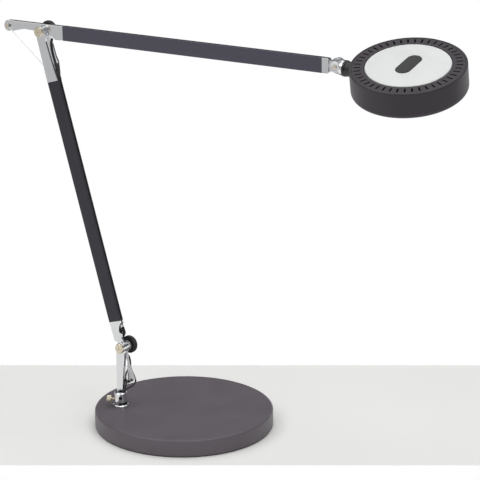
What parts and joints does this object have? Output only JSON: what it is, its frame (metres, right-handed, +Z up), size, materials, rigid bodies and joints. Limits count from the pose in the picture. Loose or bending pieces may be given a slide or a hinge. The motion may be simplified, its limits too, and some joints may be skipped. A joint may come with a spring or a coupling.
{
  "type": "balanced desk lamp",
  "caption": "Desk lamp with a round base, swivelling post, two slim hinged arms balanced by a wire and hidden spring, and a flat round head on a turning neck.",
  "frame": {"origin": "centre of the base's underside, on the surface it stands on", "axes": "+Z up, +X the way the upper arm reaches, all arm hinges along Y"},
  "size_m": [0.6309, 0.22, 0.5184],
  "materials": {
    "base_paint": "satin powder coat, dark warm grey",
    "head_paint": "fine matt, dark warm grey",
    "arm_anodised": "satin dark anodised",
    "cast_iron": "as cast",
    "foam": "closed-cell foam",
    "zinc_steel": "zinc plated",
    "dark_steel": "blackened",
    "black_plastic": "moulded black",
    "cable": "flexible insulation",
    "sleeve": "flexible sleeve",
    "chrome": "polished",
    "nickel": "nickel plated, warm",
    "brass": "turned",
    "spring_steel": "drawn wire",
    "wire": "fine stranded wire",
    "plate_aluminium": "satin natural",
    "raw_aluminium": "die cast",
    "board": "white solder mask",
    "led": "phosphor",
    "diffuser": "opal",
    "button_rubber": "smooth matt"
  },
  "bodies": {
    "base": {"base_cover": "base_paint", "base_weight": "cast_iron", "base_pad": "foam", "weight_screws": "zinc_steel", "dc_inlet": "black_plastic", "spindle": "zinc_steel", "spindle_nut": "zinc_steel", "base_cable": "cable"},
    "post": {"collar": "chrome", "post_cheek": "chrome", "lower_bolt": "nickel", "lower_washers": "zinc_steel", "cable_fin": "chrome", "fin_screws": "dark_steel", "fin_spacer": "zinc_steel", "lower_bush": "chrome", "lower_spring_washer": "zinc_steel", "post_cables": "cable"},
    "thumbscrew": {"thumbscrew": "nickel"},
    "lower_knob": {"lower_knob": "black_plastic", "lower_insert": "brass"},
    "lower_arm": {"lower_fitting": "chrome", "lower_profile": "arm_anodised", "fork_near": "chrome", "fork_far": "chrome", "fork_screws": "dark_steel", "guide_pin": "zinc_steel", "wire_guide": "zinc_steel", "upper_bolt": "nickel", "upper_washers": "zinc_steel", "spring_anchor": "zinc_steel", "balance_spring": "spring_steel", "lower_cable": "cable", "lower_sleeve": "sleeve"},
    "spring_hook": {"spring_hook": "spring_steel"},
    "upper_knob": {"upper_knob": "black_plastic", "upper_insert": "brass"},
    "upper_arm": {"beak_lever": "chrome", "tail_pin": "nickel", "upper_profile": "arm_anodised", "end_plug": "chrome", "upper_cable": "cable", "upper_sleeve": "sleeve"},
    "wire": {"wire_eye": "zinc_steel", "balance_wire": "wire"},
    "wire_feed": {"wire_tip": "wire"},
    "neck": {"tilt_bolt": "nickel", "tilt_nut": "nickel", "knuckle": "chrome", "neck_sleeve": "black_plastic", "neck_pin": "zinc_steel"},
    "head": {"head_housing": "head_paint", "vent_ring": "head_paint", "top_plate": "plate_aluminium", "heat_sink": "raw_aluminium", "led_board": "board", "led_chips": "led", "diffuser": "diffuser", "switch_board": "board"},
    "head_button": {"head_button": "button_rubber"}
  },
  "joints": [
    {"name": "base_swivel", "type": "hinge", "parent": "base", "child": "post", "pos_m": [-0.0664, -0.0414, 0.0215], "axis": [0, 0, 1], "range_deg": [-170, 170]},
    {"name": "thumbscrew_turn", "type": "hinge", "parent": "post", "child": "thumbscrew", "pos_m": [-0.0664, -0.0414, 0.0308], "axis": [-0.9121, -0.4099, 0], "range_deg": [-180, 180]},
    {"name": "lower_knob_turn", "type": "hinge", "parent": "post", "child": "lower_knob", "pos_m": [-0.0664, -0.0354, 0.0975], "axis": [0, 1, 0], "range_deg": [-180, 180]},
    {"name": "lower_hinge", "type": "hinge", "parent": "post", "child": "lower_arm", "pos_m": [-0.0664, -0.0354, 0.0975], "axis": [0, 1, 0], "range_deg": [-20, 30], "deforming": ["lower_sleeve"]},
    {"name": "upper_knob_turn", "type": "hinge", "parent": "lower_arm", "child": "upper_knob", "pos_m": [-0.18077, -0.0354, 0.47871], "axis": [0, 1, 0], "range_deg": [-180, 180]},
    {"name": "upper_hinge", "type": "hinge", "parent": "lower_arm", "child": "upper_arm", "pos_m": [-0.18077, -0.0354, 0.47871], "axis": [0, 1, 0], "range_deg": [-40, 25], "deforming": ["upper_sleeve"]},
    {"name": "spring_slide", "type": "slide", "parent": "lower_arm", "child": "spring_hook", "axis": [-0.2874, 0, 0.9578], "range_m": [-0.023, 0.023], "deforming": ["balance_spring"]},
    {"name": "wire_swing", "type": "hinge", "parent": "upper_arm", "child": "wire", "pos_m": [-0.23359, -0.0357, 0.47959], "axis": [0, 1, 0], "range_deg": [-22, 22]},
    {"name": "wire_feed", "type": "slide", "parent": "wire", "child": "wire_feed", "axis": [0.7883, 0, -0.6152], "range_m": [-0.023, 0.023], "deforming": ["balance_wire", "wire_tip"]},
    {"name": "head_tilt", "type": "hinge", "parent": "upper_arm", "child": "neck", "pos_m": [0.23247, -0.03095, 0.48593], "axis": [0, 1, 0], "range_deg": [-70, 60]},
    {"name": "head_twist", "type": "hinge", "parent": "neck", "child": "head", "pos_m": [0.23247, -0.03095, 0.48593], "axis": [0.9979, 0, -0.0645], "range_deg": [-96, 64]},
    {"name": "head_button_press", "type": "slide", "parent": "head", "child": "head_button", "axis": [-0.062, 0.279, -0.9583], "range_m": [0, 0.0006], "stiffness_N_per_m": 900, "springref_m": -0.0006}
  ],
  "couplings": [
    {"joint": "spring_slide", "follows": "upper_hinge", "m_per_rad": 0.031226},
    {"joint": "wire_swing", "follows": "upper_hinge", "ratio": -0.52},
    {"joint": "wire_feed", "follows": "upper_hinge", "m_per_rad": 0.031226}
  ]
}
